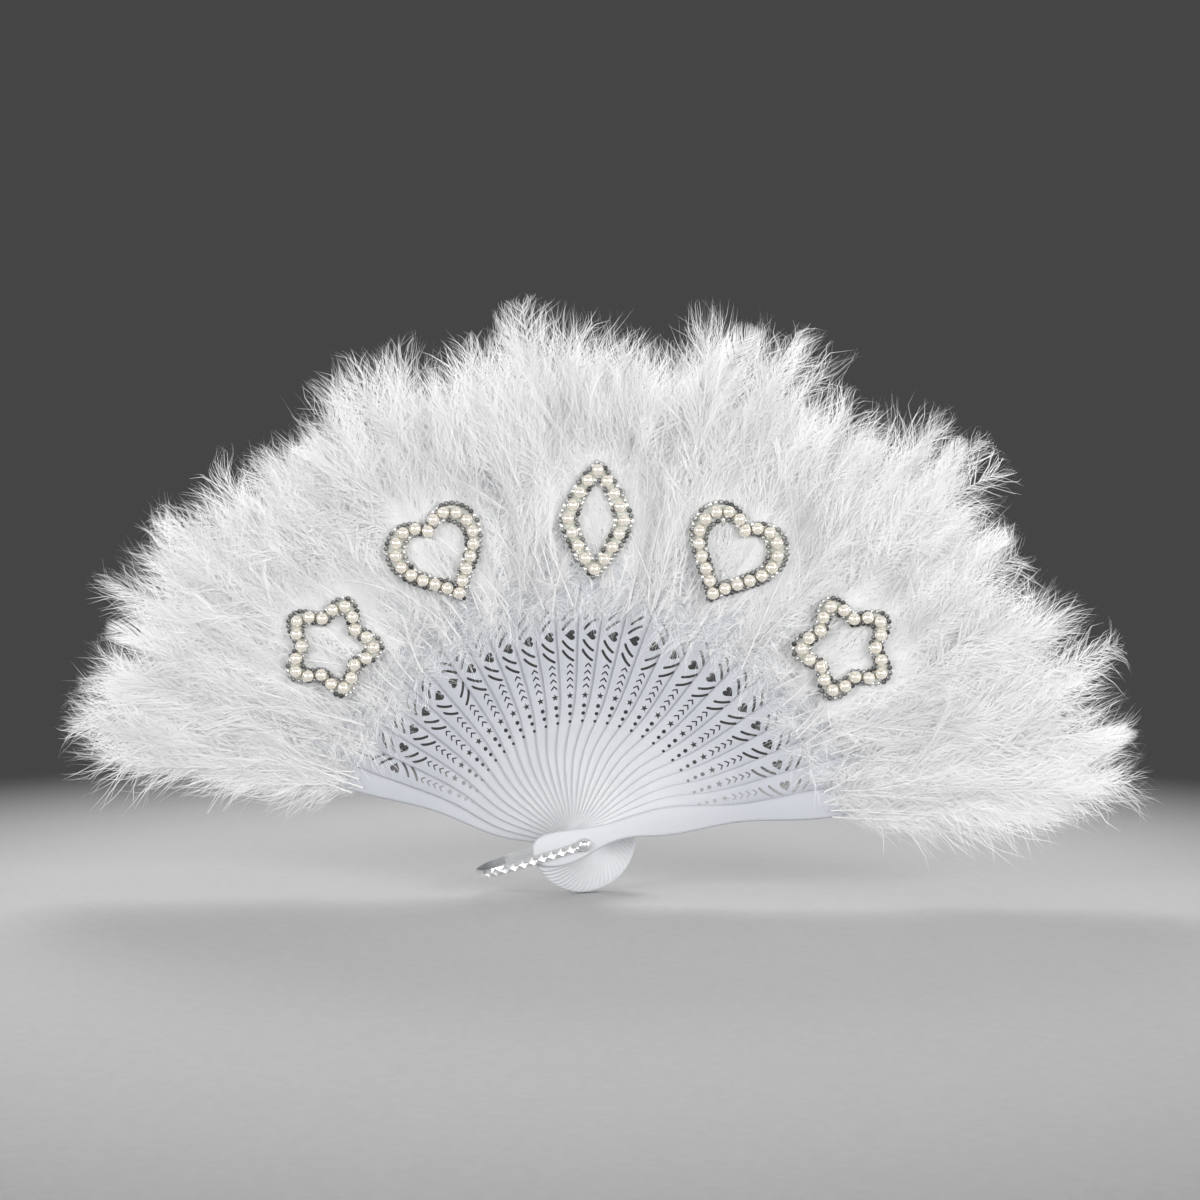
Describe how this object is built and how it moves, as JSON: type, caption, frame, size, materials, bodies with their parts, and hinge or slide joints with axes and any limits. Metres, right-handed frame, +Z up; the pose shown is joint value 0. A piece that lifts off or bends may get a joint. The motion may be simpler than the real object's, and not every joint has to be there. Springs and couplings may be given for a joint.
{
  "type": "folding feather fan",
  "caption": "Folding hand fan of pierced plastic staves on one pin, with white plumage, pearl patches and a swinging wrist loop; folds shut about the pin.",
  "frame": {"origin": "on the axis of the pivot pin, halfway through the stack of staves", "axes": "+X to the right of the open fan seen from its front, +Y from the front to the back along the pin, +Z up through the middle of the plumage"},
  "size_m": [0.4917, 0.038, 0.2738],
  "materials": {
    "stave_plastic": "white satin plastic, slightly bluish, faintly translucent",
    "guard_plastic": "white satin plastic, thicker and more opaque than the staves",
    "feather": "soft white down and vanes",
    "pearl_patch": "ivory pearl beads on pale felt, clear stones at the edges",
    "pin_metal": "bright plated metal",
    "loop_metal": "bright plated band with pressed facets"
  },
  "bodies": {
    "front_guard": {"front_guard": "guard_plastic", "plume_of_front_guard": "feather", "pivot_pin": "pin_metal"},
    "stave_01": {"stave_01": "stave_plastic"},
    "stave_02": {"stave_02": "stave_plastic", "plume_of_stave_02": "feather"},
    "stave_03": {"stave_03": "stave_plastic"},
    "stave_04": {"stave_04": "stave_plastic", "plume_of_stave_04": "feather", "flower_patch_right": "pearl_patch"},
    "stave_05": {"stave_05": "stave_plastic"},
    "stave_06": {"stave_06": "stave_plastic", "plume_of_stave_06": "feather"},
    "stave_07": {"stave_07": "stave_plastic"},
    "stave_08": {"stave_08": "stave_plastic", "plume_of_stave_08": "feather", "heart_patch_right": "pearl_patch"},
    "stave_09": {"stave_09": "stave_plastic"},
    "stave_10": {"stave_10": "stave_plastic", "plume_of_stave_10": "feather"},
    "stave_11": {"stave_11": "stave_plastic"},
    "stave_12": {"stave_12": "stave_plastic", "plume_of_stave_12": "feather", "lozenge_patch": "pearl_patch"},
    "stave_13": {"stave_13": "stave_plastic"},
    "stave_14": {"stave_14": "stave_plastic", "plume_of_stave_14": "feather"},
    "stave_15": {"stave_15": "stave_plastic"},
    "stave_16": {"stave_16": "stave_plastic", "plume_of_stave_16": "feather"},
    "stave_17": {"stave_17": "stave_plastic"},
    "stave_18": {"stave_18": "stave_plastic", "plume_of_stave_18": "feather", "heart_patch_left": "pearl_patch"},
    "stave_19": {"stave_19": "stave_plastic"},
    "stave_20": {"stave_20": "stave_plastic", "plume_of_stave_20": "feather"},
    "stave_21": {"stave_21": "stave_plastic"},
    "stave_22": {"stave_22": "stave_plastic", "plume_of_stave_22": "feather", "flower_patch_left": "pearl_patch"},
    "stave_23": {"stave_23": "stave_plastic"},
    "stave_24": {"stave_24": "stave_plastic", "plume_of_stave_24": "feather"},
    "stave_25": {"stave_25": "stave_plastic"},
    "rear_guard": {"rear_guard": "guard_plastic", "plume_of_rear_guard": "feather"},
    "wrist_loop": {"wrist_loop": "loop_metal"}
  },
  "joints": [
    {"name": "fold", "type": "hinge", "parent": "front_guard", "child": "rear_guard", "pos_m": [0, 0, 0], "axis": [0, 1, 0], "range_deg": [0, 156], "deforming": ["flower_patch_right", "heart_patch_right", "lozenge_patch", "heart_patch_left", "flower_patch_left"]},
    {"name": "fold_stave_01", "type": "hinge", "parent": "front_guard", "child": "stave_01", "pos_m": [0, 0, 0], "axis": [0, 1, 0], "range_deg": [0, 6.2]},
    {"name": "fold_stave_02", "type": "hinge", "parent": "front_guard", "child": "stave_02", "pos_m": [0, 0, 0], "axis": [0, 1, 0], "range_deg": [0, 12.2]},
    {"name": "fold_stave_03", "type": "hinge", "parent": "front_guard", "child": "stave_03", "pos_m": [0, 0, 0], "axis": [0, 1, 0], "range_deg": [0, 18.2]},
    {"name": "fold_stave_04", "type": "hinge", "parent": "front_guard", "child": "stave_04", "pos_m": [0, 0, 0], "axis": [0, 1, 0], "range_deg": [0, 24.2]},
    {"name": "fold_stave_05", "type": "hinge", "parent": "front_guard", "child": "stave_05", "pos_m": [0, 0, 0], "axis": [0, 1, 0], "range_deg": [0, 30.2]},
    {"name": "fold_stave_06", "type": "hinge", "parent": "front_guard", "child": "stave_06", "pos_m": [0, 0, 0], "axis": [0, 1, 0], "range_deg": [0, 36.2]},
    {"name": "fold_stave_07", "type": "hinge", "parent": "front_guard", "child": "stave_07", "pos_m": [0, 0, 0], "axis": [0, 1, 0], "range_deg": [0, 42.2]},
    {"name": "fold_stave_08", "type": "hinge", "parent": "front_guard", "child": "stave_08", "pos_m": [0, 0, 0], "axis": [0, 1, 0], "range_deg": [0, 48.2]},
    {"name": "fold_stave_09", "type": "hinge", "parent": "front_guard", "child": "stave_09", "pos_m": [0, 0, 0], "axis": [0, 1, 0], "range_deg": [0, 54.2]},
    {"name": "fold_stave_10", "type": "hinge", "parent": "front_guard", "child": "stave_10", "pos_m": [0, 0, 0], "axis": [0, 1, 0], "range_deg": [0, 60.2]},
    {"name": "fold_stave_11", "type": "hinge", "parent": "front_guard", "child": "stave_11", "pos_m": [0, 0, 0], "axis": [0, 1, 0], "range_deg": [0, 66.2]},
    {"name": "fold_stave_12", "type": "hinge", "parent": "front_guard", "child": "stave_12", "pos_m": [0, 0, 0], "axis": [0, 1, 0], "range_deg": [0, 72.2]},
    {"name": "fold_stave_13", "type": "hinge", "parent": "front_guard", "child": "stave_13", "pos_m": [0, 0, 0], "axis": [0, 1, 0], "range_deg": [0, 78.2]},
    {"name": "fold_stave_14", "type": "hinge", "parent": "front_guard", "child": "stave_14", "pos_m": [0, 0, 0], "axis": [0, 1, 0], "range_deg": [0, 84.2]},
    {"name": "fold_stave_15", "type": "hinge", "parent": "front_guard", "child": "stave_15", "pos_m": [0, 0, 0], "axis": [0, 1, 0], "range_deg": [0, 90.2]},
    {"name": "fold_stave_16", "type": "hinge", "parent": "front_guard", "child": "stave_16", "pos_m": [0, 0, 0], "axis": [0, 1, 0], "range_deg": [0, 96.2]},
    {"name": "fold_stave_17", "type": "hinge", "parent": "front_guard", "child": "stave_17", "pos_m": [0, 0, 0], "axis": [0, 1, 0], "range_deg": [0, 102.2]},
    {"name": "fold_stave_18", "type": "hinge", "parent": "front_guard", "child": "stave_18", "pos_m": [0, 0, 0], "axis": [0, 1, 0], "range_deg": [0, 108.2]},
    {"name": "fold_stave_19", "type": "hinge", "parent": "front_guard", "child": "stave_19", "pos_m": [0, 0, 0], "axis": [0, 1, 0], "range_deg": [0, 114.2]},
    {"name": "fold_stave_20", "type": "hinge", "parent": "front_guard", "child": "stave_20", "pos_m": [0, 0, 0], "axis": [0, 1, 0], "range_deg": [0, 120.2]},
    {"name": "fold_stave_21", "type": "hinge", "parent": "front_guard", "child": "stave_21", "pos_m": [0, 0, 0], "axis": [0, 1, 0], "range_deg": [0, 126.2]},
    {"name": "fold_stave_22", "type": "hinge", "parent": "front_guard", "child": "stave_22", "pos_m": [0, 0, 0], "axis": [0, 1, 0], "range_deg": [0, 132.2]},
    {"name": "fold_stave_23", "type": "hinge", "parent": "front_guard", "child": "stave_23", "pos_m": [0, 0, 0], "axis": [0, 1, 0], "range_deg": [0, 138.2]},
    {"name": "fold_stave_24", "type": "hinge", "parent": "front_guard", "child": "stave_24", "pos_m": [0, 0, 0], "axis": [0, 1, 0], "range_deg": [0, 144.2]},
    {"name": "fold_stave_25", "type": "hinge", "parent": "front_guard", "child": "stave_25", "pos_m": [0, 0, 0], "axis": [0, 1, 0], "range_deg": [0, 150.2]},
    {"name": "loop_swing", "type": "hinge", "parent": "front_guard", "child": "wrist_loop", "pos_m": [0, 0, 0], "axis": [0, 1, 0], "range_deg": [-165, 11.5]}
  ],
  "couplings": [
    {"joint": "fold_stave_01", "follows": "fold", "ratio": 0.038462},
    {"joint": "fold_stave_02", "follows": "fold", "ratio": 0.076923},
    {"joint": "fold_stave_03", "follows": "fold", "ratio": 0.11538},
    {"joint": "fold_stave_04", "follows": "fold", "ratio": 0.15385},
    {"joint": "fold_stave_05", "follows": "fold", "ratio": 0.19231},
    {"joint": "fold_stave_06", "follows": "fold", "ratio": 0.23077},
    {"joint": "fold_stave_07", "follows": "fold", "ratio": 0.26923},
    {"joint": "fold_stave_08", "follows": "fold", "ratio": 0.30769},
    {"joint": "fold_stave_09", "follows": "fold", "ratio": 0.34615},
    {"joint": "fold_stave_10", "follows": "fold", "ratio": 0.38462},
    {"joint": "fold_stave_11", "follows": "fold", "ratio": 0.42308},
    {"joint": "fold_stave_12", "follows": "fold", "ratio": 0.46154},
    {"joint": "fold_stave_13", "follows": "fold", "ratio": 0.5},
    {"joint": "fold_stave_14", "follows": "fold", "ratio": 0.53846},
    {"joint": "fold_stave_15", "follows": "fold", "ratio": 0.57692},
    {"joint": "fold_stave_16", "follows": "fold", "ratio": 0.61538},
    {"joint": "fold_stave_17", "follows": "fold", "ratio": 0.65385},
    {"joint": "fold_stave_18", "follows": "fold", "ratio": 0.69231},
    {"joint": "fold_stave_19", "follows": "fold", "ratio": 0.73077},
    {"joint": "fold_stave_20", "follows": "fold", "ratio": 0.76923},
    {"joint": "fold_stave_21", "follows": "fold", "ratio": 0.80769},
    {"joint": "fold_stave_22", "follows": "fold", "ratio": 0.84615},
    {"joint": "fold_stave_23", "follows": "fold", "ratio": 0.88462},
    {"joint": "fold_stave_24", "follows": "fold", "ratio": 0.92308},
    {"joint": "fold_stave_25", "follows": "fold", "ratio": 0.96154}
  ]
}
